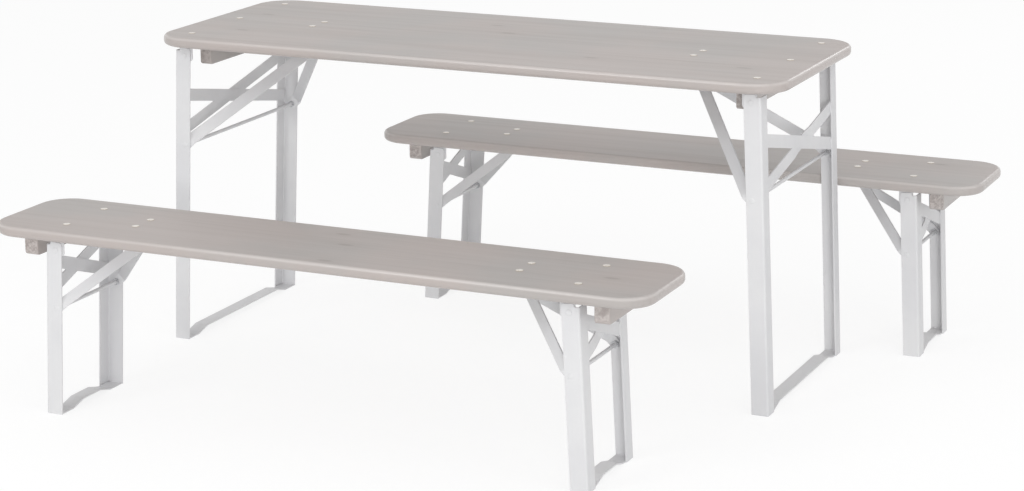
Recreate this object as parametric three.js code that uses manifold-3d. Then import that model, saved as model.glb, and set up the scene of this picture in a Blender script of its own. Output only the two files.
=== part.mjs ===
// A folding table with two folding benches: painted wooden boards on hinged steel leg frames.
// Millimetres, +Z up, +X along the boards, with the near bench on the -Y side of the table.
import * as THREE from 'three';
import { mergeVertices } from 'three/addons/utils/BufferGeometryUtils.js';
import Module from 'manifold-3d';

const wasm = await Module();
wasm.setup();

// Sizes in which the table and the benches differ.
// The end inset runs from the end of the board to the legs' outer face, the side inset from its side edge.
// Drops are measured down from the underside of the board.
const TABLE = {
  length: 1600,
  width: 607,
  height: 770,
  corner: 87,
  legEndInset: 50,
  legSideInset: 31.5,
  footSplay: 32.7,
  crossFlat: { high: 116, low: 216 },
  crossBowed: { high: 130.5, low: 218 },
  rodDrop: 246,
  tipFromHinge: 240,
  strutWidth: 28,
  battenFromHinge: -34.5,
  battenWidth: 30,
  battenDepth: 50,
  battenSideInset: 75,
};
const BENCH = {
  length: 1600,
  width: 298,
  height: 438,
  corner: 75,
  legEndInset: 149.5,
  legSideInset: 21.5,
  footSplay: 20.6,
  crossFlat: { high: 52, low: 116.5 },
  crossBowed: { high: 62.5, low: 121.5 },
  rodDrop: 160,
  tipFromHinge: 165,
  strutWidth: 24,
  battenFromHinge: 70,
  battenWidth: 35,
  battenDepth: 44,
  battenSideInset: 31,
};

// Where the benches stand: along the table, and clear of its legs.
const NEAR_BENCH_ALONG = -68;
const NEAR_BENCH_GAP = 351;
const FAR_BENCH_ALONG = 300;
const FAR_BENCH_GAP = 12;

// Boards and battens.
const BOARD_THICKNESS = 25;
const BOARD_EDGE = 9;
const BATTEN_CORNER = 8;
const BATTEN_EDGE = 2;

// Leg angles: a face flange across the end of the board and a side flange along its side.
const LEG_SHEET = 3;
const LEG_BEND = 5;
const FACE_FLANGE = 40;
const SIDE_FLANGE = 41;
const FACE_TOP_GAP = 12;
const EAR_WIDTH = 29;
const EAR_TOP_GAP = 5;
const EAR_CORNER = 8;
const EAR_STEP = 3;

// Hinge: the axis lies in from the legs' outer face and down from the board.
const HINGE_INSET = 24;
const HINGE_DROP = 24;
const STRAP_WIDTH = 26;
const STRAP_SHEET = 3;
const STRAP_BEND = 5;
const STRAP_EAR_REACH = 21.5;
const STRAP_EAR_CORNER = 8;
const STRAP_EAR_ROOT = 14;
const RIVET_RADIUS = 4;
const RIVET_HEAD_RADIUS = 6.5;
const RIVET_HEAD_HEIGHT = 1;

// Pivot rod through both legs.
const ROD_RADIUS = 4.5;
const ROD_FACE_INSET = 27;
const ROD_HEAD_RADIUS = 6.5;
const ROD_HEAD_HEIGHT = 1;

// Cross of two flat bars, one bowed over the other.
const CROSS_WIDTH = 30;
const CROSS_SHEET = 3;
const CROSS_BOW_HALF = 30;
const CROSS_BOW_RUN = 30;
const CROSS_BOW_BEND = 20;
const CROSS_END_GAP = 2;

// Struts: flat bars on edge from the pivot rod to a tongue with a cross pin under the board.
const STRUT_SHEET = 4;
const STRUT_FOOT_RUN = 20;
const STRUT_BEND = 10;
const TONGUE_LENGTH = 27;
const TONGUE_TIP_RADIUS = 7;
const PIN_RADIUS = 3;
const PIN_HALF_LENGTH = 22;

// Catch plate under the board: two lips on the outer side of the cross pin, sheet outward from them.
const CATCH_SHEET = 3;
const CATCH_REACH = 24;
const CATCH_HALF_LENGTH = 42;
const CATCH_BEND = 4;
const CATCH_TIP_CLEARANCE = 1;
const LIP_OVERLAP = 0.5;
const LIP_SIDE_CLEARANCE = 2;

// Foot bar: ends flat on the floor between the leg flanges, middle raised.
const FOOT_WIDTH = 36;
const FOOT_SHEET = 3;
const FOOT_RISE = 11;
const FOOT_FLAT = 47;
const FOOT_RAMP = 42;
const FOOT_BEND = 14;
const FOOT_CORNER = 4;

// Gap between pieces that meet or turn on each other, sink of welded pieces, and facets of round stretches.
const CLEARANCE = 0.3;
const WELD = 0.2;
const MARGIN = 10;
const ARC_STEP = Math.PI / 8;
const ROUND_SIDES = 12;
const DOME_STEPS = 3;

const WOOD = { color: 0xb3aeaa, roughness: 0.55, metalness: 0 };
const STEEL = { color: 0xdedee0, roughness: 0.4, metalness: 0.1 };

// Corners [x, y] stay sharp, corners [x, y, radius] are rounded.
function path(corners, closed) {
  const points = [];
  const count = corners.length;
  corners.forEach(([x, y, radius], i) => {
    const corner = new THREE.Vector2(x, y);
    const isEnd = !closed && (i === 0 || i === count - 1);
    if (!radius || isEnd) {
      points.push(corner);
      return;
    }
    const back = new THREE.Vector2(...corners[(i + count - 1) % count]).sub(corner).normalize();
    const ahead = new THREE.Vector2(...corners[(i + 1) % count]).sub(corner).normalize();
    const inside = Math.acos(back.dot(ahead));
    const start = corner.clone().addScaledVector(back, radius / Math.tan(inside / 2));
    const centre = back.clone().add(ahead).normalize();
    centre.multiplyScalar(radius / Math.sin(inside / 2)).add(corner);
    const turn = (Math.PI - inside) * Math.sign(ahead.cross(back));
    const steps = Math.ceil(Math.abs(turn) / ARC_STEP);
    for (let k = 0; k <= steps; k += 1) {
      points.push(start.clone().rotateAround(centre, (turn * k) / steps));
    }
  });
  return points;
}

function outline(corners) {
  return path(corners, true);
}

// Outline of a bent strip of sheet: a centre line thickened to both sides.
function strip(corners, thickness) {
  const line = path(corners, false);
  const left = [];
  const right = [];
  line.forEach((point, i) => {
    const before = line[Math.max(i - 1, 0)];
    const after = line[Math.min(i + 1, line.length - 1)];
    const incoming = point.clone().sub(i > 0 ? before : after).normalize();
    if (i === 0) {
      incoming.negate();
    }
    const outgoing = i < line.length - 1 ? after.clone().sub(point).normalize() : incoming;
    const mid = incoming.clone().add(outgoing).normalize();
    const reach = thickness / 2 / mid.dot(incoming);
    const side = new THREE.Vector2(-mid.y, mid.x).multiplyScalar(reach);
    left.push(point.clone().add(side));
    right.unshift(point.clone().sub(side));
  });
  return [...left, ...right];
}

function arc(x, y, radius, from, to) {
  const steps = Math.ceil(Math.abs(to - from) / ARC_STEP);
  return Array.from({ length: steps + 1 }, (_, k) => {
    const angle = from + ((to - from) * k) / steps;
    return new THREE.Vector2(x + radius * Math.cos(angle), y + radius * Math.sin(angle));
  });
}

// Prisms. Holes are [u, v, radius] in the outline's own plane.
const X_AXIS = new THREE.Vector3(1, 0, 0);
const Y_AXIS = new THREE.Vector3(0, 1, 0);
const Z_AXIS = new THREE.Vector3(0, 0, 1);
const SIDE_PLANE = new THREE.Matrix4().makeBasis(X_AXIS, Z_AXIS, Y_AXIS.clone().negate());
const END_PLANE = new THREE.Matrix4().makeBasis(Y_AXIS, Z_AXIS, X_AXIS);

function prism(points, depth, holes = []) {
  const shape = new THREE.Shape(points);
  holes.forEach(([u, v, radius]) => {
    shape.holes.push(new THREE.Path(arc(u, v, radius, 0, -2 * Math.PI).slice(0, -1)));
  });
  return new THREE.ExtrudeGeometry(shape, { depth, bevelEnabled: false });
}

// An outline in x and y, raised from one height to another.
function upright(points, from, to) {
  return prism(points, to - from).translate(0, 0, from);
}

// An outline in x and z, drawn out along y.
function sideways(points, from, to, holes) {
  return prism(points, to - from, holes).applyMatrix4(SIDE_PLANE).translate(0, to, 0);
}

// An outline in y and z, drawn out along x.
function lengthways(points, from, to) {
  return prism(points, to - from).applyMatrix4(END_PLANE).translate(from, 0, 0);
}

// A round piece along y from [radius, y] points that start and end on the axis.
function turned(profile) {
  return new THREE.LatheGeometry(profile.map(([r, y]) => new THREE.Vector2(r, y)), ROUND_SIDES);
}

// Points of a low domed head that stands on y = base.
function dome(radius, height, base) {
  return Array.from({ length: DOME_STEPS + 1 }, (_, k) => {
    const angle = (Math.PI / 2) * (k / DOME_STEPS);
    const isTop = k === DOME_STEPS;
    return [isTop ? 0 : radius * Math.cos(angle), base + height * Math.sin(angle)];
  });
}

// Solids for joining and cutting.
function toSolid(geometry) {
  const bare = geometry.clone();
  bare.deleteAttribute('normal');
  bare.deleteAttribute('uv');
  const merged = mergeVertices(bare);
  const corners = merged.index.array;
  const triVerts = [];
  for (let i = 0; i < corners.length; i += 3) {
    const [a, b, c] = corners.subarray(i, i + 3);
    if (a !== b && b !== c && c !== a) {
      triVerts.push(a, b, c);
    }
  }
  return new wasm.Manifold(new wasm.Mesh({
    numProp: 3,
    vertProperties: new Float32Array(merged.attributes.position.array),
    triVerts: new Uint32Array(triVerts),
  }));
}

function toGeometry(solid) {
  const mesh = solid.getMesh();
  const geometry = new THREE.BufferGeometry();
  geometry.setAttribute('position', new THREE.BufferAttribute(mesh.vertProperties, 3));
  geometry.setIndex(new THREE.BufferAttribute(mesh.triVerts, 1));
  geometry.computeVertexNormals();
  return geometry;
}

function common(a, b) {
  return toGeometry(toSolid(a).intersect(toSolid(b)));
}

function joined(first, ...others) {
  const whole = others.reduce((sum, other) => sum.add(toSolid(other)), toSolid(first));
  return toGeometry(whole);
}

function piece(name, geometry, look) {
  const mesh = new THREE.Mesh(geometry, new THREE.MeshStandardMaterial(look));
  mesh.name = name;
  return mesh;
}

// Places worked out from an item's sizes, in its own frame: floor at z = 0, middle of the board at x = y = 0.
function placesOf(item) {
  const under = item.height - BOARD_THICKNESS;
  const legY = item.width / 2 - item.legSideInset;
  const hinge = new THREE.Vector2(item.length / 2 - item.legEndInset - HINGE_INSET, under - HINGE_DROP);
  const tilt = Math.atan(item.footSplay / hinge.y);
  const footFace = hinge.x + HINGE_INSET * Math.cos(tilt) + (hinge.y + HINGE_INSET * Math.sin(tilt)) * Math.tan(tilt);
  const rodX = HINGE_INSET - ROD_FACE_INSET;
  const rodZ = (HINGE_DROP - item.rodDrop - rodX * Math.sin(tilt)) / Math.cos(tilt);
  const rod = new THREE.Vector2(rodX, rodZ);
  const rodInItem = rod.clone().rotateAround(new THREE.Vector2(), tilt).add(hinge);
  const pinDrop = CATCH_SHEET + CATCH_TIP_CLEARANCE + TONGUE_TIP_RADIUS;
  const pin = new THREE.Vector2(hinge.x - item.tipFromHinge, under - pinDrop);
  const strut = pin.clone().sub(rodInItem);
  return {
    under,
    legY,
    legInside: legY - LEG_SHEET - CLEARANCE,
    hinge,
    tilt,
    footFace,
    rod,
    pin,
    pinDrop,
    strutHalf: item.strutWidth / 2,
    strutLength: strut.length(),
    strutLean: Math.atan2(-strut.x, strut.y),
  };
}

function boardGeometry(item) {
  const x = item.length / 2;
  const y = item.width / 2;
  const r = item.corner;
  const shape = new THREE.Shape(outline([[-x, -y, r], [x, -y, r], [x, y, r], [-x, y, r]]));
  const rounding = { bevelSize: BOARD_EDGE, bevelThickness: BOARD_EDGE, bevelOffset: -BOARD_EDGE, bevelSegments: 3 };
  const depth = BOARD_THICKNESS - 2 * BOARD_EDGE;
  const geometry = new THREE.ExtrudeGeometry(shape, { depth, ...rounding });
  return geometry.translate(0, 0, item.height - BOARD_THICKNESS + BOARD_EDGE);
}

// Batten: screwed up under the board, its two lower ends rounded.
function battenGeometry(item, { under, hinge }) {
  const y = item.width / 2 - item.battenSideInset;
  const low = under - item.battenDepth;
  const shape = new THREE.Shape(outline([
    [-y, under],
    [-y, low, BATTEN_CORNER],
    [y, low, BATTEN_CORNER],
    [y, under],
  ]));
  const rounding = { bevelSize: BATTEN_EDGE, bevelThickness: BATTEN_EDGE, bevelOffset: -BATTEN_EDGE, bevelSegments: 2 };
  const depth = item.battenWidth - 2 * BATTEN_EDGE;
  const geometry = new THREE.ExtrudeGeometry(shape, { depth, ...rounding }).applyMatrix4(END_PLANE);
  return geometry.translate(hinge.x + item.battenFromHinge - depth / 2, 0, 0);
}

// Leg angle in the frame's own axes: x outward and z up from the hinge axis. Side is the sign of its y.
function legGeometry({ legY, hinge, tilt, rod }, side) {
  const outer = HINGE_INSET;
  const edge = outer - SIDE_FLANGE;
  const inner = outer - LEG_SHEET;
  const section = outline([
    [edge - MARGIN, side * legY],
    [outer, side * legY, LEG_BEND],
    [outer, side * (legY - FACE_FLANGE)],
    [inner, side * (legY - FACE_FLANGE)],
    [inner, side * (legY - LEG_SHEET), LEG_BEND - LEG_SHEET],
    [edge - MARGIN, side * (legY - LEG_SHEET)],
  ]);
  const floorAt = (x) => -(hinge.y + x * Math.sin(tilt)) / Math.cos(tilt);
  const earTop = HINGE_DROP - EAR_TOP_GAP;
  const faceTop = HINGE_DROP - FACE_TOP_GAP;
  const sideView = outline([
    [edge, floorAt(edge)],
    [outer + MARGIN, floorAt(outer + MARGIN)],
    [outer + MARGIN, faceTop],
    [edge + EAR_WIDTH, faceTop, EAR_STEP],
    [edge + EAR_WIDTH, earTop, EAR_STEP],
    [edge, earTop, EAR_CORNER],
  ]);
  const holes = [
    [0, 0, RIVET_RADIUS + CLEARANCE],
    [rod.x, rod.y, ROD_RADIUS + CLEARANCE],
  ];
  const angle = upright(section, floorAt(outer) - MARGIN, earTop + MARGIN);
  return common(angle, sideways(sideView, -legY - MARGIN, legY + MARGIN, holes));
}

// Flat bar along y, bowed inward by the given depth round a place along it.
function crossBar(halfLength, face, bow, bowAt) {
  const x = face - CROSS_SHEET / 2;
  const bent = strip([
    [x, -halfLength],
    [x, bowAt - CROSS_BOW_HALF - CROSS_BOW_RUN, CROSS_BOW_BEND],
    [x - bow, bowAt - CROSS_BOW_HALF, CROSS_BOW_BEND],
    [x - bow, bowAt + CROSS_BOW_HALF, CROSS_BOW_BEND],
    [x, bowAt + CROSS_BOW_HALF + CROSS_BOW_RUN, CROSS_BOW_BEND],
    [x, halfLength],
  ], CROSS_SHEET);
  const straight = outline([
    [face, -halfLength],
    [face, halfLength],
    [face - CROSS_SHEET, halfLength],
    [face - CROSS_SHEET, -halfLength],
  ]);
  return upright(bow > 0 ? bent : straight, -CROSS_WIDTH / 2, CROSS_WIDTH / 2);
}

// Cross of two bars on the inside of the face flanges, at the drops where they pass the flanges' edges.
// The flat bar is high at the -y leg and the bowed one at the +y leg.
function crossGeometry(item, { legY, legInside, tilt }) {
  const run = 2 * (legY - FACE_FLANGE) * Math.cos(tilt);
  const leanOf = ({ high, low }) => (low - high) / run;
  const middleOf = ({ high, low }) => HINGE_DROP - (low + high) / 2 / Math.cos(tilt);
  const placed = (drops, bow, bowY, way) => {
    const slope = Math.atan(leanOf(drops));
    const reach = legInside - CROSS_END_GAP - (CROSS_WIDTH / 2) * Math.sin(slope);
    const bar = crossBar(reach / Math.cos(slope), HINGE_INSET - LEG_SHEET - CLEARANCE, bow, bowY / Math.cos(slope));
    return bar.rotateX(way * slope).translate(0, 0, middleOf(drops));
  };
  const apart = middleOf(item.crossFlat) - middleOf(item.crossBowed);
  const crossingY = apart / (leanOf(item.crossFlat) + leanOf(item.crossBowed));
  const flat = placed(item.crossFlat, 0, 0, -1);
  const bowed = placed(item.crossBowed, CROSS_SHEET - WELD, crossingY, 1);
  return joined(flat, bowed);
}

function rodGeometry({ legY, rod }) {
  const head = dome(ROD_HEAD_RADIUS, ROD_HEAD_HEIGHT, legY);
  const farHalf = [[ROD_RADIUS, legY], ...head];
  const nearHalf = farHalf.map(([r, y]) => [r, -y]).reverse();
  return turned([...nearHalf, ...farHalf]).translate(rod.x, 0, rod.y);
}

// Strap under the board across the hinge axis, with a broad ear and a rivet inside each leg.
function strapGeometry({ under, legY, legInside, hinge }) {
  const half = STRAP_WIDTH / 2;
  const level = under - STRAP_SHEET / 2;
  const earY = legInside - STRAP_SHEET / 2;
  const low = hinge.y - half;
  const bend = STRAP_BEND - STRAP_SHEET / 2;
  const section = strip([
    [-earY, low - MARGIN],
    [-earY, level, bend],
    [earY, level, bend],
    [earY, low - MARGIN],
  ], STRAP_SHEET);
  const bent = lengthways(section, hinge.x - STRAP_EAR_REACH - MARGIN, hinge.x + half + MARGIN);
  const flatView = outline([
    [hinge.x - half, level - MARGIN],
    [hinge.x + half, level - MARGIN],
    [hinge.x + half, level + MARGIN],
    [hinge.x - half, level + MARGIN],
  ]);
  const earView = outline([
    [hinge.x - STRAP_EAR_REACH, low, STRAP_EAR_CORNER],
    [hinge.x + half, low, half],
    [hinge.x + half, level + MARGIN],
    [hinge.x - STRAP_EAR_REACH, level + MARGIN],
  ]);
  const root = legInside - STRAP_EAR_ROOT;
  const flat = sideways(flatView, -root - WELD, root + WELD);
  const cut = joined(flat, sideways(earView, root, legY), sideways(earView, -legY, -root));
  const strap = common(bent, cut);
  const headBase = legY + CLEARANCE;
  const rivet = turned([
    [0, earY],
    [RIVET_RADIUS, earY],
    [RIVET_RADIUS, headBase],
    ...dome(RIVET_HEAD_RADIUS, RIVET_HEAD_HEIGHT, headBase),
  ]);
  const farRivet = rivet.clone().translate(hinge.x, 0, hinge.y);
  const nearRivet = rivet.clone().rotateZ(Math.PI).translate(hinge.x, 0, hinge.y);
  return joined(strap, farRivet, nearRivet);
}

// Catch plate: the sheet bends down at its inner edge into two lips that the cross pin bears on.
function catchGeometry({ under, pin, pinDrop }) {
  const lipX = pin.x + PIN_RADIUS + CLEARANCE + CATCH_SHEET / 2;
  const level = under - CATCH_SHEET / 2;
  const lipLow = under - pinDrop - PIN_RADIUS - LIP_OVERLAP;
  const bend = CATCH_BEND - CATCH_SHEET / 2;
  const sideView = strip([
    [lipX + CATCH_REACH, level],
    [lipX, level, bend],
    [lipX, lipLow - MARGIN],
  ], CATCH_SHEET);
  const bent = sideways(sideView, -CATCH_HALF_LENGTH, CATCH_HALF_LENGTH);
  const low = under - CATCH_SHEET;
  const lipInside = STRUT_SHEET + CLEARANCE + LIP_SIDE_CLEARANCE;
  const endView = outline([
    [-CATCH_HALF_LENGTH - MARGIN, under + MARGIN],
    [-CATCH_HALF_LENGTH - MARGIN, low],
    [-PIN_HALF_LENGTH, low],
    [-PIN_HALF_LENGTH, lipLow],
    [-lipInside, lipLow],
    [-lipInside, low],
    [lipInside, low],
    [lipInside, lipLow],
    [PIN_HALF_LENGTH, lipLow],
    [PIN_HALF_LENGTH, low],
    [CATCH_HALF_LENGTH + MARGIN, low],
    [CATCH_HALF_LENGTH + MARGIN, under + MARGIN],
  ]);
  return common(bent, lengthways(endView, lipX - MARGIN, lipX + CATCH_REACH + MARGIN));
}

// One strut in the brace's own axes: z from the pivot rod to the cross pin, x across the bar's width.
// Apart is half the gap between the two tongues.
function strutGeometry({ legInside, strutLength, strutHalf }, side, apart, hasPinHole) {
  const footY = side * (legInside - STRUT_SHEET / 2);
  const tongueY = side * (apart + STRUT_SHEET / 2);
  const plan = strip([
    [footY, -strutHalf - MARGIN],
    [footY, STRUT_FOOT_RUN, STRUT_BEND],
    [tongueY, strutLength - TONGUE_LENGTH, STRUT_BEND],
    [tongueY, strutLength + TONGUE_TIP_RADIUS + MARGIN],
  ], STRUT_SHEET);
  const sideView = [
    ...arc(0, 0, strutHalf, -Math.PI, 0),
    new THREE.Vector2(strutHalf, strutLength - TONGUE_LENGTH),
    ...arc(0, strutLength, TONGUE_TIP_RADIUS, 0, Math.PI),
    new THREE.Vector2(-strutHalf, strutLength - TONGUE_LENGTH),
  ];
  const holes = [[0, 0, ROD_RADIUS + CLEARANCE]];
  if (hasPinHole) {
    holes.push([0, strutLength, PIN_RADIUS + CLEARANCE]);
  }
  const bar = lengthways(plan, -strutHalf - MARGIN, strutHalf + MARGIN);
  return common(bar, sideways(sideView, -legInside - MARGIN, legInside + MARGIN, holes));
}

function pinGeometry({ strutLength }) {
  const end = PIN_HALF_LENGTH;
  const pin = turned([[0, -end], [PIN_RADIUS, -end], [PIN_RADIUS, end], [0, end]]);
  return pin.translate(0, 0, strutLength);
}

// Foot bar in the item's axes: it lies flat on the floor although the legs lean.
function footGeometry({ legInside, footFace, tilt }) {
  const outer = footFace - LEG_SHEET / Math.cos(tilt) - FOOT_SHEET * Math.tan(tilt) - CLEARANCE;
  const low = FOOT_SHEET / 2;
  const high = FOOT_RISE + FOOT_SHEET / 2;
  const flat = legInside - FOOT_FLAT;
  const raised = flat - FOOT_RAMP;
  const section = strip([
    [-legInside - MARGIN, low],
    [-flat, low, FOOT_BEND],
    [-raised, high, FOOT_BEND],
    [raised, high, FOOT_BEND],
    [flat, low, FOOT_BEND],
    [legInside + MARGIN, low],
  ], FOOT_SHEET);
  const plan = outline([
    [outer - FOOT_WIDTH, -legInside, FOOT_CORNER],
    [outer, -legInside, FOOT_CORNER],
    [outer, legInside, FOOT_CORNER],
    [outer - FOOT_WIDTH, legInside, FOOT_CORNER],
  ]);
  const bent = lengthways(section, outer - FOOT_WIDTH - MARGIN, outer + MARGIN);
  return common(bent, upright(plan, -MARGIN, high + MARGIN));
}

// Struts of one end: two separate bars with a common pin on the table, one welded fork on a bench.
function addStruts(brace, item, places, prefix, sides) {
  const pin = pinGeometry(places);
  if (item === TABLE) {
    const gap = CLEARANCE / 2;
    const near = joined(strutGeometry(places, sides.near, gap, false), pin);
    brace.add(piece(`${prefix}_near_strut`, near, STEEL));
    brace.add(piece(`${prefix}_far_strut`, strutGeometry(places, sides.far, gap, true), STEEL));
  } else {
    const near = strutGeometry(places, sides.near, -WELD, false);
    const far = strutGeometry(places, sides.far, -WELD, false);
    brace.add(piece(`${prefix}_strut_fork`, joined(near, far, pin), STEEL));
  }
}

// One end of an item, built at its +X end. Sides give the signs of y of the near and far legs there.
function buildEnd(item, places, prefix, sides) {
  const end = new THREE.Group();
  end.add(piece(`${prefix}_batten`, battenGeometry(item, places), WOOD));
  end.add(piece(`${prefix}_hinge_strap`, strapGeometry(places), STEEL));
  end.add(piece(`${prefix}_catch_plate`, catchGeometry(places), STEEL));
  end.add(piece(`${prefix}_foot_bar`, footGeometry(places), STEEL));

  const frame = new THREE.Group();
  frame.position.set(places.hinge.x, 0, places.hinge.y);
  frame.rotation.y = -places.tilt;
  frame.add(piece(`${prefix}_near_leg`, legGeometry(places, sides.near), STEEL));
  frame.add(piece(`${prefix}_far_leg`, legGeometry(places, sides.far), STEEL));
  frame.add(piece(`${prefix}_cross_brace`, crossGeometry(item, places), STEEL));
  frame.add(piece(`${prefix}_pivot_rod`, rodGeometry(places), STEEL));
  end.add(frame);

  const brace = new THREE.Group();
  brace.position.set(places.rod.x, 0, places.rod.y);
  brace.rotation.y = places.tilt - places.strutLean;
  addStruts(brace, item, places, prefix, sides);
  frame.add(brace);
  return end;
}

function buildItem(item, name) {
  const places = placesOf(item);
  const group = new THREE.Group();
  group.add(piece(`${name}_board`, boardGeometry(item), WOOD));
  const right = buildEnd(item, places, `${name}_right`, { near: -1, far: 1 });
  const left = buildEnd(item, places, `${name}_left`, { near: 1, far: -1 });
  left.rotation.z = Math.PI;
  group.add(right, left);
  return group;
}

const table = buildItem(TABLE, 'table');
const nearBench = buildItem(BENCH, 'near_bench');
const farBench = buildItem(BENCH, 'far_bench');
const tableLegY = placesOf(TABLE).legY;
nearBench.position.set(NEAR_BENCH_ALONG, -tableLegY - NEAR_BENCH_GAP - BENCH.width / 2, 0);
farBench.position.set(FAR_BENCH_ALONG, tableLegY + FAR_BENCH_GAP + BENCH.width / 2, 0);

// The origin is on the floor under the middle of the whole set.
const set = new THREE.Group();
set.add(table, nearBench, farBench);
const middle = new THREE.Box3().setFromObject(set, true).getCenter(new THREE.Vector3());
set.position.set(-middle.x, -middle.y, 0);

const model = new THREE.Group();
model.add(set);

export default model;
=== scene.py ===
"""Looks of a folding table with two folding benches: painted boards on off-white steel frames."""

import math

import bmesh
import bpy
from mathutils import Matrix, Quaternion, Vector


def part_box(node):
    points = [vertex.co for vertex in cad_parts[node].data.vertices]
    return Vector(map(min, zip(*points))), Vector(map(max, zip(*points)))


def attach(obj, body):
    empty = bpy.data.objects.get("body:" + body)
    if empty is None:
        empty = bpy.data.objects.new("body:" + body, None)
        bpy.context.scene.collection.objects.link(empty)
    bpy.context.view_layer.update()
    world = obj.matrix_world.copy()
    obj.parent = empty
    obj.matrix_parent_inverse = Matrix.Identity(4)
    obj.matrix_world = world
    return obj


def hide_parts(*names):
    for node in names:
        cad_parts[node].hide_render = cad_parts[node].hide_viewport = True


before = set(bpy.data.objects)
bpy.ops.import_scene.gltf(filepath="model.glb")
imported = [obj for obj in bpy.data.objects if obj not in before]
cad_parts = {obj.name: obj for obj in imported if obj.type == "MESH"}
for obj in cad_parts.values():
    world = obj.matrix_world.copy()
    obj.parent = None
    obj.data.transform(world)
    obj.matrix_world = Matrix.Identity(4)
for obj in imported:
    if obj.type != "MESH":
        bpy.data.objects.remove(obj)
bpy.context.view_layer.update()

ITEMS = ("table", "near_bench", "far_bench")
ENDS = ("left", "right")
SIDES = (-1, 1)

# Sizes in metres. Boards and eased edges.
BOARD_EDGE = 0.009
BOARD_RIM = 0.003
CORNER_STEPS = 14
EDGE_STEPS = 7
STEEL_SOFTENING = 0.0006
BATTEN_SOFTENING = 0.0008
EASED_STEPS = 2
SAME_PLACE = 1e-6
FLAT_ANGLE = math.radians(0.5)
SHARP_ANGLE = math.radians(35)
FLAT_FACE_WEIGHT = 80

# Sheets and places of the frames, as in the solids.
# Places run along and across from the middle of the board.
SHEET = 0.003
HINGE_DROP = 0.024
HINGE_INSET = 0.024
FACE_FLANGE = 0.040
ROD_RADIUS = 0.0045
TABLE = {
    "corner": 0.087,
    "hinge": 0.726,
    "leg_side": 0.272,
    "splay": 0.0327,
    "cross_flat": (0.116, 0.216),
    "cross_bowed": (0.1305, 0.218),
    "strap_screws": ((0.726, -0.231), (0.726, 0.0), (0.726, 0.231)),
    "catch_screws": ((0.5015, -0.0315), (0.5015, 0.0315)),
    "batten_screws": (-0.17, 0.0, 0.17),
}
BENCH = {
    "corner": 0.075,
    "hinge": 0.6265,
    "leg_side": 0.1275,
    "splay": 0.0206,
    "cross_flat": (0.052, 0.1165),
    "cross_bowed": (0.0625, 0.1215),
    "strap_screws": ((0.6265, -0.0765), (0.6265, 0.0765)),
    "catch_screws": ((0.473, -0.0315), (0.473, 0.0315)),
    "batten_screws": (-0.07, 0.07),
}

# Fittings.
HEAD_SIDES = 28
HEAD_RINGS = 6
SCREW_RADIUS = 0.0088
SCREW_HEIGHT = 0.0016
SCREW_RIM = 0.0004
BATTEN_SCREW_RADIUS = 0.0050
BATTEN_SCREW_HEIGHT = 0.0012
BOLT_RADIUS = 0.0030
BOLT_NUT_FLATS = 0.010
BOLT_NUT_HEIGHT = 0.0050
BOLT_TIP = 0.0020
ROD_NUT_FLATS = 0.015
ROD_NUT_HEIGHT = 0.0060
STRUT_SHEET = 0.004
NUT_STEPS = 48
NUT_CHAMFER = 0.12
NUT_FACE_REACH = 1.01
NUT_CORNER_REACH = 1.16
RIVET_RADIUS = 0.0067
RIVET_HEIGHT = 0.0012
ROD_HEAD_RADIUS = 0.0065
ROD_HEAD_HEIGHT = 0.0010
ROD_SIDES = 36
GAP = 0.0003

# Weld beads. Dip, ripple and end are shares of the radius, and a higher taper power makes blunter ends.
BEAD_RADIUS = 0.0022
BEAD_STEP = 0.0026
BEAD_LEAST_STEPS = 4
BEAD_SIDES = 8
BEAD_DIP = 0.82
BEAD_RIPPLE = 0.18
BEAD_TAPER_POWER = 8
BEAD_END = 0.15
BEAD_INSET = 0.004
CROSS_BEAD_HALF = 0.0125

# Camera: it looks at the set from the near side, a little to the right.
IMAGE_WIDTH = 1024
SENSOR_WIDTH = 36.0
FOCAL_PIXELS = 2595.3
CAMERA_YAW = math.radians(24.659)
CAMERA_PITCH = math.radians(14.434)
CAMERA_ROLL = math.radians(-0.312)
CAMERA_DISTANCE = 6.358
AIM_HEIGHT = 0.300
AIM_RIGHT = 0.0205
AIM_DOWN = 0.0443
SEEN_AS_FAR_AS = 100

# Studio. The floor's glow shows to the camera and in glossy pieces only.
ROOM_LIGHT = 0.68
FLOOR_HALF = 30.0
FLOOR_GLOW = 0.76
FLOOR_GLOW_LEVEL = 1.055

# Lamps: name, place, aim, width and height, watts, and whether glossy pieces mirror it.
LAMPS = (
    ("camera_lamp", (7.0, -11.6, 2.4), (0, 0, 0.5), (4.0, 3.0), 530, False),
    ("left_lamp", (-2.0, -4.7, 4.3), (-0.1, 0, 0.6), (1.8, 2.4), 56, True),
    ("right_lamp", (2.8, -1.6, 3.4), (0.3, 0, 0.6), (1.8, 1.8), 13, False),
    ("back_lamp", (1.3, 5.8, 2.8), (0.6, 0.2, 0.77), (1.6, 0.8), 11, True),
)

# Wood: how fine a texture is across the grain and along it, and how much of each tone the paint shows.
STREAK_SCALE = (34.0, 1.2)
LINE_SCALE = (160.0, 3.2)
LINE_SHIFT = (0.7, 2.9, 5.3)
FIBRE_SCALE = (420.0, 9.0)
KNOT_SCALE = (8.5, 3.1)
KNOT_SHIFT = (0.31, 0.47, 0.0)
CLOUD_SCALE = 3.1
SPECKLE_SCALE = 120.0
RING_SCALE = 95.0
SLAT_WIDTH = 0.098
STREAK_SHARE = 0.14
LINE_SHARE = 0.16
SLAT_SHARE = 0.05
HALO_SHARE = 0.07
KNOT_SHARE = 0.26
SPECKLE_SHARE = 0.87
RING_SHARE = 0.13
BOARD_END_SHARE = 0.12
BATTEN_END_SHARE = 0.60
WOOD_ROUGHNESS = (0.40, 0.50)
EDGE_GLOSS = 0.52
WOOD_BUMP = (0.30, 0.0005)

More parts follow.
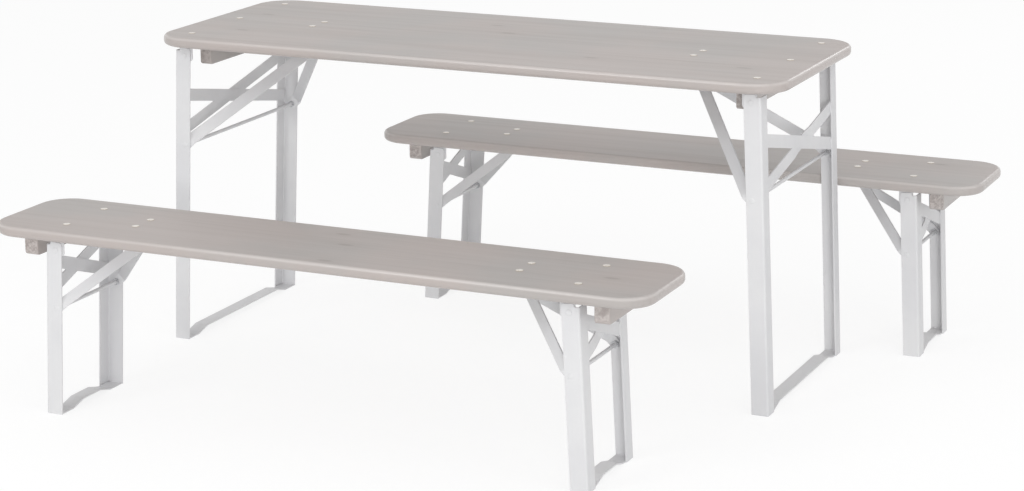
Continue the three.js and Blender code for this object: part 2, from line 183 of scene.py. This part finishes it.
# Steel paint and plating.
STEEL_CLOUD_SCALE = 5.0
STEEL_PEEL_SCALE = 620.0
STEEL_RUB_SCALE = (38.0, 38.0, 9.0)
STEEL_RUB_SHARE = 0.30
STEEL_ROUGHNESS = (0.36, 0.50)
STEEL_BUMP = (0.16, 0.0003)
PLATING_STAIN_SCALE = 260.0
PLATING_GRAIN_SCALE = 1500.0
PLATING_ROUGHNESS = (0.26, 0.42)
PLATING_BUMP = (0.10, 0.0002)
# How strongly painted shade darkens the steep sides of the screw heads.
SIDE_SHADE_SHARE = 0.85


def srgb(r, g, b):
    """A linear colour from 8-bit screen values."""
    def linear(value):
        c = value / 255
        return c / 12.92 if c <= 0.04045 else ((c + 0.055) / 1.055) ** 2.4
    return (linear(r), linear(g), linear(b), 1.0)


WOOD_PAINT = srgb(179, 174, 171)
WOOD_PAINT_WARM = srgb(185, 176, 172)
WOOD_PAINT_DARK = srgb(139, 130, 124)
WOOD_KNOT = srgb(112, 99, 92)
# Colour of the painted highlight along the boards' upper rounded edges.
WOOD_EDGE_HIGHLIGHT = srgb(216, 211, 208)
END_GRAIN_LIGHT = srgb(206, 199, 196)
END_GRAIN_DARK = srgb(142, 132, 128)
STEEL_PAINT = srgb(221, 221, 222)
STEEL_PAINT_COOL = srgb(215, 215, 217)
STEEL_PAINT_DULL = srgb(201, 201, 202)
SCREW_METAL = srgb(242, 238, 233)
SCREW_METAL_DARK = srgb(216, 208, 198)
# Colour of the painted shade on the sides of the screw heads.
SCREW_SIDE_SHADE = srgb(158, 138, 112)
ZINC = srgb(202, 203, 205)
ZINC_DARK = srgb(164, 165, 168)
FLOOR_WHITE = (0.96, 0.96, 0.96, 1.0)


class Nodes:
    """A short way to write a material's node tree."""

    def __init__(self, name):
        self.material = bpy.data.materials.new(name)
        self.material.use_nodes = True
        self.tree = self.material.node_tree
        self.tree.nodes.clear()

    def add(self, kind, inputs=None, **settings):
        node = self.tree.nodes.new(kind)
        for key, value in settings.items():
            setattr(node, key, value)
        for key, value in (inputs or {}).items():
            self.put(node.inputs[key], value)
        return node

    def put(self, socket, value):
        if isinstance(value, bpy.types.NodeSocket):
            self.tree.links.new(value, socket)
        else:
            socket.default_value = value

    def place(self):
        return self.add("ShaderNodeTexCoord").outputs["Object"]

    def parts(self, vector):
        return self.add("ShaderNodeSeparateXYZ", {"Vector": vector}).outputs

    def scaled(self, vector, scale, shift=(0, 0, 0)):
        inputs = {"Vector": vector, "Location": shift, "Scale": scale}
        return self.add("ShaderNodeMapping", inputs).outputs[0]

    def noise(self, vector, scale, detail=4.0, roughness=0.55, distortion=0.0):
        inputs = {"Vector": vector, "Scale": scale, "Detail": detail}
        inputs.update({"Roughness": roughness, "Distortion": distortion})
        return self.add("ShaderNodeTexNoise", inputs).outputs["Fac"]

    def math(self, operation, a, b=0.0):
        return self.add("ShaderNodeMath", {0: a, 1: b}, operation=operation).outputs[0]

    def times(self, a, b):
        return self.math("MULTIPLY", a, b)

    def plus(self, a, b):
        return self.math("ADD", a, b)

    def span(self, value, low, high, to_low=0.0, to_high=1.0):
        inputs = {"Value": value, "From Min": low, "From Max": high, "To Min": to_low, "To Max": to_high}
        return self.add("ShaderNodeMapRange", inputs, interpolation_type="SMOOTHSTEP").outputs["Result"]

    def mix(self, factor, a, b):
        node = self.add("ShaderNodeMix", {"Factor": factor, 6: a, 7: b}, data_type="RGBA")
        return node.outputs[2]

    def bump(self, height, strength, distance):
        inputs = {"Height": height, "Strength": strength, "Distance": distance}
        return self.add("ShaderNodeBump", inputs).outputs["Normal"]

    def facing(self):
        """The parts of the surface's direction."""
        return self.parts(self.add("ShaderNodeTexCoord").outputs["Normal"])

    def surface(self, **inputs):
        named = {}
        for key, value in inputs.items():
            named[key.replace("_", " ").title().replace("Ior", "IOR")] = value
        shader = self.add("ShaderNodeBsdfPrincipled", named)
        self.add("ShaderNodeOutputMaterial", {"Surface": shader.outputs[0]})
        return self.material


def along_axis(along, fine, coarse):
    """Scales for a texture drawn out along one axis."""
    scales = [fine, fine, fine]
    scales[along] = coarse
    return scales


def wood_knots(n, place, along, lines):
    """Where a few knots lie in the wood, and the halo round each."""
    knot_place = n.scaled(place, along_axis(along, *KNOT_SCALE), KNOT_SHIFT)
    inputs = {"Vector": knot_place, "Scale": 1.0}
    cell = n.add("ShaderNodeTexVoronoi", inputs, voronoi_dimensions="2D").outputs
    chosen = n.span(n.parts(cell["Color"])[0], 0.66, 0.68)
    ragged = n.plus(cell["Distance"], n.times(n.math("SUBTRACT", lines, 0.5), 0.05))
    knots = n.times(chosen, n.span(ragged, 0.030, 0.075, 1.0, 0.0))
    halo = n.times(chosen, n.span(cell["Distance"], 0.05, 0.26, 1.0, 0.0))
    return knots, halo


def end_pores(n, place, along):
    """Speckle and rings of the end grain."""
    speckle = n.noise(place, SPECKLE_SCALE, 5.0, 0.7)
    inputs = {"Vector": place, "Scale": RING_SCALE, "Distortion": 3.0, "Detail": 2.0, "Detail Scale": 0.4}
    wave = n.add("ShaderNodeTexWave", inputs, wave_type="RINGS", rings_direction="XYZ"[along])
    return n.plus(n.times(speckle, SPECKLE_SHARE), n.times(wave.outputs["Fac"], RING_SHARE))


def painted_wood(name, along, end_share):
    """Satin paint over glued wood whose grain runs along one axis (0 is x, 1 is y)."""
    n = Nodes(name)
    place = n.place()
    streaks = n.noise(n.scaled(place, along_axis(along, *STREAK_SCALE)), 1.0, 6.0, 0.62, 0.35)
    lines = n.noise(n.scaled(place, along_axis(along, *LINE_SCALE), LINE_SHIFT), 1.0, 4.0, 0.6, 0.2)
    fibres = n.noise(n.scaled(place, along_axis(along, *FIBRE_SCALE)), 1.0, 3.0, 0.5)
    clouds = n.noise(place, CLOUD_SCALE, 3.0, 0.5)
    slat = n.math("FLOOR", n.math("DIVIDE", n.parts(place)[1 - along], SLAT_WIDTH))
    tone = n.add("ShaderNodeTexWhiteNoise", {"W": slat}, noise_dimensions="1D").outputs["Value"]
    knots, halo = wood_knots(n, place, along, lines)
    pores = end_pores(n, place, along)

    facing = n.facing()
    end_face = n.span(n.math("ABSOLUTE", facing[along]), 0.86, 0.97)
    # Painted highlight: the upper rounded edges are lightened, more in some streaks than in others.
    rounded = n.times(n.span(facing[2], 0.05, 0.60), n.span(facing[2], 0.75, 0.995, 1.0, 0.0))
    wear_and_highlight = n.times(rounded, n.span(streaks, 0.30, 0.65, 0.20, 0.50))

    colour = n.mix(n.span(clouds, 0.36, 0.64), WOOD_PAINT, WOOD_PAINT_WARM)
    colour = n.mix(n.span(streaks, 0.46, 0.80, 0.0, STREAK_SHARE), colour, WOOD_PAINT_DARK)
    colour = n.mix(n.span(lines, 0.52, 0.76, 0.0, LINE_SHARE), colour, WOOD_PAINT_DARK)
    colour = n.mix(n.times(tone, SLAT_SHARE), colour, WOOD_PAINT_DARK)
    colour = n.mix(n.times(halo, HALO_SHARE), colour, WOOD_PAINT_DARK)
    colour = n.mix(n.times(knots, KNOT_SHARE), colour, WOOD_KNOT)
    # Painted highlight on the upper rounded edges.
    colour = n.mix(wear_and_highlight, colour, WOOD_EDGE_HIGHLIGHT)
    mottle = n.mix(n.span(pores, 0.40, 0.60), END_GRAIN_DARK, END_GRAIN_LIGHT)
    colour = n.mix(n.times(end_face, end_share), colour, mottle)

    satin = n.span(streaks, 0.25, 0.75, *WOOD_ROUGHNESS)
    roughness = n.times(satin, n.span(facing[2], 0.90, 0.995, EDGE_GLOSS, 1.0))
    relief = n.plus(n.times(lines, 0.5), n.times(fibres, 0.35))
    relief = n.math("SUBTRACT", relief, n.times(knots, 0.3))
    relief = n.plus(relief, n.times(n.times(pores, end_face), 0.5))
    normal = n.bump(relief, *WOOD_BUMP)
    return n.surface(base_color=colour, roughness=roughness, normal=normal, specular_ior_level=0.5)


def painted_steel():
    """Off-white powder coat: fine orange peel, faint tone changes and a little handling wear."""
    n = Nodes("painted_steel")
    place = n.place()
    clouds = n.noise(place, STEEL_CLOUD_SCALE, 3.0, 0.5)
    peel = n.noise(place, STEEL_PEEL_SCALE, 2.0, 0.5)
    wear_and_highlight = n.noise(n.scaled(place, STEEL_RUB_SCALE), 1.0, 6.0, 0.7)
    colour = n.mix(n.span(clouds, 0.32, 0.68), STEEL_PAINT, STEEL_PAINT_COOL)
    colour = n.mix(n.span(wear_and_highlight, 0.60, 0.80, 0.0, STEEL_RUB_SHARE), colour, STEEL_PAINT_DULL)
    roughness = n.span(wear_and_highlight, 0.3, 0.75, *STEEL_ROUGHNESS)
    normal = n.bump(peel, *STEEL_BUMP)
    return n.surface(base_color=colour, roughness=roughness, normal=normal, specular_ior_level=0.45)


def plated(name, light, dark, metallic, side_shade=None):
    """Plated metal with a faint stain and a fine grain, and where asked painted shade on the steep sides
    of its heads.
    """
    n = Nodes(name)
    place = n.place()
    stain = n.noise(place, PLATING_STAIN_SCALE, 3.0, 0.6)
    colour = n.mix(n.span(stain, 0.38, 0.72), light, dark)
    if side_shade:
        # Painted shade: the steep sides of a head are darker than its top.
        colour = n.mix(n.span(n.facing()[2], 0.72, 0.975, SIDE_SHADE_SHARE, 0.0), colour, side_shade)
    roughness = n.span(stain, 0.3, 0.7, *PLATING_ROUGHNESS)
    normal = n.bump(n.noise(place, PLATING_GRAIN_SCALE, 2.0), *PLATING_BUMP)
    return n.surface(base_color=colour, metallic=metallic, roughness=roughness, normal=normal)


def seen_directly(tree):
    """One for rays that see the white background: from the camera, by a gloss or through a clear piece."""
    path = tree.nodes.new("ShaderNodeLightPath")
    total = path.outputs["Is Camera Ray"]
    for ray in ("Is Glossy Ray", "Is Transmission Ray"):
        larger = tree.nodes.new("ShaderNodeMath")
        larger.operation = "MAXIMUM"
        tree.links.new(total, larger.inputs[0])
        tree.links.new(path.outputs[ray], larger.inputs[1])
        total = larger.outputs[0]
    return total


def floor_paint():
    """White floor that stays white to the camera and keeps a soft shadow."""
    n = Nodes("floor_white")
    matte = n.add("ShaderNodeBsdfDiffuse", {"Color": FLOOR_WHITE}).outputs[0]
    glow = n.add("ShaderNodeEmission", {"Color": (1, 1, 1, 1), "Strength": FLOOR_GLOW_LEVEL}).outputs[0]
    share = n.times(seen_directly(n.tree), FLOOR_GLOW)
    blend = n.add("ShaderNodeMixShader", {0: share, 1: matte, 2: glow}).outputs[0]
    n.add("ShaderNodeOutputMaterial", {"Surface": blend})
    return n.material


BOARD_WOOD = painted_wood("painted_wood_board", 0, BOARD_END_SHARE)
BATTEN_WOOD = painted_wood("painted_wood_batten", 1, BATTEN_END_SHARE)
STEEL = painted_steel()
SCREW_PLATING = plated("screw_plating", SCREW_METAL, SCREW_METAL_DARK, 0.35, SCREW_SIDE_SHADE)
ZINC_PLATING = plated("zinc_plating", ZINC, ZINC_DARK, 0.4)


def size_of(item):
    return TABLE if item == "table" else BENCH


class End:
    """Places at one end of an item. The left end is the right one turned half round."""

    def __init__(self, item, end):
        self.item = item
        self.name = f"{item}_{end}"
        self.size = size_of(item)
        self.turn = 1 if end == "right" else -1
        low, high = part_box(f"{item}_board")
        self.middle = (low + high) / 2
        self.top = high.z
        self.under = low.z
        self.hinge_height = low.z - HINGE_DROP
        self.tilt = math.atan(self.size["splay"] / self.hinge_height)
        self.leg_inside = self.size["leg_side"] - SHEET - GAP

    def at(self, x, y, z):
        """A place in the item's own axes."""
        return Vector((self.middle.x + self.turn * x, self.middle.y + self.turn * y, z))

    def in_frame(self, x, y, z):
        """A place in the leaning leg frame: x outward and z up from the hinge."""
        outward = x * math.cos(self.tilt) - z * math.sin(self.tilt)
        upward = x * math.sin(self.tilt) + z * math.cos(self.tilt)
        return self.at(self.size["hinge"] + outward, y, self.hinge_height + upward)


def piece(name, mesh_data, material, body):
    """A finished mesh, riding on its body."""
    mesh = bpy.data.meshes.new(name)
    mesh_data.to_mesh(mesh)
    mesh_data.free()
    mesh.shade_smooth()
    mesh.set_sharp_from_angle(angle=SHARP_ANGLE)
    mesh.materials.append(material)
    made = bpy.data.objects.new(name, mesh)
    bpy.context.scene.collection.objects.link(made)
    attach(made, body)
    return made


def weigh_normals(made):
    """Keeps broad faces flat in shading beside their softened edges."""
    modifier = made.modifiers.new("flat_faces", "WEIGHTED_NORMAL")
    modifier.keep_sharp = True
    modifier.weight = FLAT_FACE_WEIGHT


def softened(node, body, material, width):
    """A copy of a solid with its sharp edges eased, in place of it."""
    shape = bmesh.new()
    shape.from_mesh(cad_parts[node].data)
    bmesh.ops.remove_doubles(shape, verts=shape.verts, dist=SAME_PLACE)
    bmesh.ops.dissolve_limit(shape, angle_limit=FLAT_ANGLE, verts=shape.verts, edges=shape.edges)
    sharp = [e for e in shape.edges if e.is_manifold and e.calc_face_angle() > SHARP_ANGLE]
    bmesh.ops.bevel(
        shape, geom=sharp, offset=width, offset_type="OFFSET", segments=EASED_STEPS, profile=0.5,
        affect="EDGES", clamp_overlap=True,
    )
    made = piece(f"{node}_look", shape, material, body)
    weigh_normals(made)
    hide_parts(node)


def skin(shape, loops):
    """Faces between one closed loop of points and the next."""
    for lower, upper in zip(loops, loops[1:]):
        for i in range(len(lower)):
            j = (i + 1) % len(lower)
            shape.faces.new((lower[i], lower[j], upper[j], upper[i]))


def cap(shape, loops):
    """Faces over both ends of a row of loops."""
    shape.faces.new(reversed(loops[0]))
    shape.faces.new(loops[-1])


def upright_on(centre, axis):
    """The turn and shift that stand a piece's z axis on a point, along an axis."""
    turn = Vector((0, 0, 1)).rotation_difference(Vector(axis)).to_matrix().to_4x4()
    return Matrix.Translation(centre) @ turn


def circle(shape, place, radius, z, sides):
    """A closed loop of points round the z axis of a place."""
    angles = [2 * math.pi * side / sides for side in range(sides)]
    points = [Vector((radius * math.cos(angle), radius * math.sin(angle), z)) for angle in angles]
    return [shape.verts.new(place @ point) for point in points]


def board_level(shape, low, high, corner, inset, z):
    """One level of a board: a rectangle with round corners, drawn in by inset."""
    radius = corner - inset
    points = []
    centres = (
        (high.x - corner, high.y - corner),
        (low.x + corner, high.y - corner),
        (low.x + corner, low.y + corner),
        (high.x - corner, low.y + corner),
    )
    for quarter, (x, y) in enumerate(centres):
        for step in range(CORNER_STEPS + 1):
            angle = (quarter + step / CORNER_STEPS) * math.pi / 2
            point = (x + radius * math.cos(angle), y + radius * math.sin(angle), z)
            points.append(shape.verts.new(point))
    return points


def board(item):
    """The painted board with its rounded corners and edges."""
    node = f"{item}_board"
    low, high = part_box(node)
    corner = size_of(item)["corner"]
    quarter = [math.pi / 2 * step / EDGE_STEPS for step in range(EDGE_STEPS + 1)]
    rounding = [(BOARD_EDGE * (1 - math.sin(a)), BOARD_EDGE * (1 - math.cos(a))) for a in quarter]
    levels = [(BOARD_EDGE + BOARD_RIM, low.z)]
    levels += [(inset, low.z + rise) for inset, rise in rounding]
    levels += [(inset, high.z - rise) for inset, rise in reversed(rounding)]
    levels.append((BOARD_EDGE + BOARD_RIM, high.z))
    shape = bmesh.new()
    loops = [board_level(shape, low, high, corner, inset, z) for inset, z in levels]
    skin(shape, loops)
    cap(shape, loops)
    made = piece(f"{node}_look", shape, BOARD_WOOD, f"{item}_top")
    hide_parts(node)


def head(shape, centre, axis, radius, height, rim):
    """A low domed head standing on a surface, added to a mesh."""
    place = upright_on(centre, axis)
    profile = [(radius, 0.0), (radius, rim)]
    for step in range(1, HEAD_RINGS):
        angle = math.pi / 2 * step / HEAD_RINGS
        profile.append((radius * math.cos(angle), rim + (height - rim) * math.sin(angle)))
    loops = [circle(shape, place, r, z, HEAD_SIDES) for r, z in profile]
    skin(shape, loops)
    top = shape.verts.new(place @ Vector((0, 0, height)))
    for i in range(HEAD_SIDES):
        shape.faces.new((loops[-1][i], loops[-1][(i + 1) % HEAD_SIDES], top))
    shape.faces.new(reversed(loops[0]))


def nut(shape, centre, axis, flats, height, bore):
    """A six-sided nut with turned-down corners and a round bore, added to a mesh."""
    place = upright_on(centre, axis)
    reach = flats / 2
    drop = NUT_CHAMFER * flats

    def hexagon(limit, z):
        points = []
        for step in range(NUT_STEPS):
            angle = 2 * math.pi * step / NUT_STEPS
            from_flat = (angle + math.pi / 6) % (math.pi / 3) - math.pi / 6
            radius = min(reach / math.cos(from_flat), limit)
            point = Vector((radius * math.cos(angle), radius * math.sin(angle), z))
            points.append(shape.verts.new(place @ point))
        return points

    loops = [
        circle(shape, place, bore, 0.0, NUT_STEPS),
        hexagon(reach * NUT_FACE_REACH, 0.0),
        hexagon(reach * NUT_CORNER_REACH, drop),
        hexagon(reach * NUT_CORNER_REACH, height - drop),
        hexagon(reach * NUT_FACE_REACH, height),
        circle(shape, place, bore, height, NUT_STEPS),
    ]
    skin(shape, loops + loops[:1])


def screws(end):
    """Domed screw heads on the board, over the strap and the catch plate, and small ones in the batten."""
    shape = bmesh.new()
    for x, y in end.size["strap_screws"] + end.size["catch_screws"]:
        head(shape, end.at(x, y, end.top), (0, 0, 1), SCREW_RADIUS, SCREW_HEIGHT, SCREW_RIM)
    low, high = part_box(f"{end.name}_batten")
    for y in end.size["batten_screws"]:
        place = ((low.x + high.x) / 2, end.middle.y + y, low.z)
        head(shape, place, (0, 0, -1), BATTEN_SCREW_RADIUS, BATTEN_SCREW_HEIGHT, SCREW_RIM)
    piece(f"{end.name}_screws", shape, SCREW_PLATING, f"{end.item}_top")


def bolt_nuts(end):
    """Nuts and bolt tips under the hinge strap and the catch plate."""
    shape = bmesh.new()
    for x, y in end.size["strap_screws"] + end.size["catch_screws"]:
        place = end.at(x, y, end.under - SHEET)
        nut(shape, place, (0, 0, -1), BOLT_NUT_FLATS, BOLT_NUT_HEIGHT, BOLT_RADIUS)
        tip = BOLT_NUT_HEIGHT + BOLT_TIP
        head(shape, place, (0, 0, -1), BOLT_RADIUS, tip, BOLT_NUT_HEIGHT + BOLT_TIP / 3)
    piece(f"{end.name}_bolt_nuts", shape, ZINC_PLATING, f"{end.item}_top")


def rivets(end):
    """Domed rivet heads on the hinge, outside the legs and inside the strap's ears."""
    shape = bmesh.new()
    for side in SIDES:
        outer = end.at(end.size["hinge"], side * (end.size["leg_side"] + GAP), end.hinge_height)
        inner = end.at(end.size["hinge"], side * (end.leg_inside - SHEET), end.hinge_height)
        outward = (0, side * end.turn, 0)
        head(shape, outer, outward, RIVET_RADIUS, RIVET_HEIGHT, SCREW_RIM)
        head(shape, inner, (0, -side * end.turn, 0), RIVET_RADIUS, RIVET_HEIGHT, SCREW_RIM)
    piece(f"{end.name}_rivets", shape, STEEL, f"{end.item}_top")


def pivot_rod(end):
    """The round rod across the legs with its low heads, and the nuts that keep the struts at the legs."""
    node = f"{end.name}_pivot_rod"
    low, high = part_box(node)
    centre = (low + high) / 2
    half = (high.y - low.y) / 2
    place = upright_on(centre, (0, 1, 0))
    quarter = [math.pi / 2 * step / HEAD_RINGS for step in range(HEAD_RINGS)]
    side = [(ROD_RADIUS, half - ROD_HEAD_HEIGHT)]
    side += [(ROD_HEAD_RADIUS * math.cos(a), half - ROD_HEAD_HEIGHT * (1 - math.sin(a))) for a in quarter]
    profile = [(r, -z) for r, z in reversed(side)] + side
    shape = bmesh.new()
    loops = [circle(shape, place, r, z, ROD_SIDES) for r, z in profile]
    skin(shape, loops)
    cap(shape, loops)
    made = piece(f"{node}_look", shape, STEEL, f"{end.name}_frame")
    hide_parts(node)
    nuts = bmesh.new()
    for way in SIDES:
        seat = centre + Vector((0, way * (end.leg_inside - STRUT_SHEET - GAP), 0))
        nut(nuts, seat, (0, -way, 0), ROD_NUT_FLATS, ROD_NUT_HEIGHT, ROD_RADIUS)
    piece(f"{end.name}_rod_nuts", nuts, ZINC_PLATING, f"{end.name}_frame")


def bead(shape, start, finish):
    """A rippled weld bead from one point to another, added to a mesh."""
    run = finish - start
    place = upright_on(start, run.normalized())
    steps = max(BEAD_LEAST_STEPS, round(run.length / BEAD_STEP) * 2)
    loops = []
    for step in range(steps + 1):
        share = step / steps
        taper = math.sqrt(max(0.0, 1 - (2 * share - 1) ** BEAD_TAPER_POWER))
        radius = BEAD_RADIUS * (BEAD_DIP + BEAD_RIPPLE * (step % 2)) * max(taper, BEAD_END)
        loops.append(circle(shape, place, radius, run.length * share, BEAD_SIDES))
    skin(shape, loops)
    cap(shape, loops)


def welds(end):
    """Weld beads where the foot bar and the cross meet the legs."""
    low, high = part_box(f"{end.name}_foot_bar")
    shape = bmesh.new()
    for y in (low.y, high.y):
        bead(shape, Vector((low.x + BEAD_INSET, y, SHEET)), Vector((high.x - BEAD_INSET, y, SHEET)))
    flange_edge = end.size["leg_side"] - FACE_FLANGE
    face = HINGE_INSET - SHEET
    flat_high, flat_low = end.size["cross_flat"]
    bowed_high, bowed_low = end.size["cross_bowed"]
    for side, drops in ((-1, (flat_high, bowed_low)), (1, (bowed_high, flat_low))):
        for drop in drops:
            z = HINGE_DROP - drop / math.cos(end.tilt)
            y = side * flange_edge
            start = end.in_frame(face, y, z - CROSS_BEAD_HALF)
            bead(shape, start, end.in_frame(face, y, z + CROSS_BEAD_HALF))
    piece(f"{end.name}_welds", shape, STEEL, f"{end.name}_frame")


STEEL_TOP = ("hinge_strap", "catch_plate")
STEEL_FRAME = ("near_leg", "far_leg", "foot_bar", "cross_brace")


def steelwork(end):
    """The steel sheet of one end, with eased edges and paint."""
    for part in STEEL_TOP:
        softened(f"{end.name}_{part}", f"{end.item}_top", STEEL, STEEL_SOFTENING)
    for part in STEEL_FRAME:
        softened(f"{end.name}_{part}", f"{end.name}_frame", STEEL, STEEL_SOFTENING)
    struts = ("near_strut", "far_strut") if end.item == "table" else ("strut_fork",)
    for part in struts:
        softened(f"{end.name}_{part}", f"{end.name}_brace", STEEL, STEEL_SOFTENING)


for item in ITEMS:
    board(item)
    for end in (End(item, name) for name in ENDS):
        softened(f"{end.name}_batten", f"{item}_top", BATTEN_WOOD, BATTEN_SOFTENING)
        steelwork(end)
        screws(end)
        bolt_nuts(end)
        rivets(end)
        pivot_rod(end)
        welds(end)


def stage_floor():
    """A wide plain floor under the set."""
    corners = ((-1, -1), (1, -1), (1, 1), (-1, 1))
    shape = bmesh.new()
    shape.faces.new([shape.verts.new((FLOOR_HALF * x, FLOOR_HALF * y, 0)) for x, y in corners])
    mesh = bpy.data.meshes.new("floor")
    shape.to_mesh(mesh)
    shape.free()
    mesh.materials.append(floor_paint())
    floor = bpy.data.objects.new("floor", mesh)
    bpy.context.scene.collection.objects.link(floor)


def soft_light(name, place, aim, size, power, glints):
    """A large lamp aimed at a point; without glints it lights the set but is not mirrored in it."""
    lamp = bpy.data.lights.new(name, "AREA")
    lamp.shape = "RECTANGLE"
    lamp.size, lamp.size_y = size
    lamp.energy = power
    made = bpy.data.objects.new(name, lamp)
    made.location = place
    made.rotation_mode = "QUATERNION"
    made.rotation_quaternion = (Vector(aim) - Vector(place)).to_track_quat("-Z", "Y")
    made.visible_camera = False
    made.visible_glossy = glints
    bpy.context.scene.collection.objects.link(made)


def studio():
    """An even white room with its lamps."""
    world = bpy.data.worlds.new("studio")
    bpy.context.scene.world = world
    world.use_nodes = True
    tree = world.node_tree
    tree.nodes.clear()
    strength = tree.nodes.new("ShaderNodeMapRange")
    strength.inputs["To Min"].default_value = ROOM_LIGHT
    background = tree.nodes.new("ShaderNodeBackground")
    background.inputs["Color"].default_value = (1, 1, 1, 1)
    output = tree.nodes.new("ShaderNodeOutputWorld")
    tree.links.new(seen_directly(tree), strength.inputs["Value"])
    tree.links.new(strength.outputs["Result"], background.inputs["Strength"])
    tree.links.new(background.outputs[0], output.inputs["Surface"])
    for lamp in LAMPS:
        soft_light(*lamp)


def photo_camera():
    """The camera at the photograph's angle."""
    low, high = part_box("table_board")
    middle = (low + high) / 2
    right = Vector((math.cos(CAMERA_YAW), math.sin(CAMERA_YAW), 0))
    ahead = Vector((
        -math.sin(CAMERA_YAW) * math.cos(CAMERA_PITCH),
        math.cos(CAMERA_YAW) * math.cos(CAMERA_PITCH),
        -math.sin(CAMERA_PITCH),
    ))
    down = ahead.cross(right)
    target = Vector((middle.x, middle.y, AIM_HEIGHT))
    place = target - ahead * CAMERA_DISTANCE
    aim = target + right * AIM_RIGHT + down * AIM_DOWN
    camera = bpy.data.cameras.new("camera")
    camera.sensor_width = SENSOR_WIDTH
    camera.lens = FOCAL_PIXELS * SENSOR_WIDTH / IMAGE_WIDTH
    camera.clip_end = SEEN_AS_FAR_AS
    made = bpy.data.objects.new("camera", camera)
    made.location = place
    made.rotation_mode = "QUATERNION"
    roll = Quaternion((0, 0, 1), CAMERA_ROLL)
    made.rotation_quaternion = (aim - place).to_track_quat("-Z", "Y") @ roll
    bpy.context.scene.collection.objects.link(made)
    bpy.context.scene.camera = made


stage_floor()
studio()
photo_camera()
bpy.context.scene.view_settings.view_transform = "Standard"
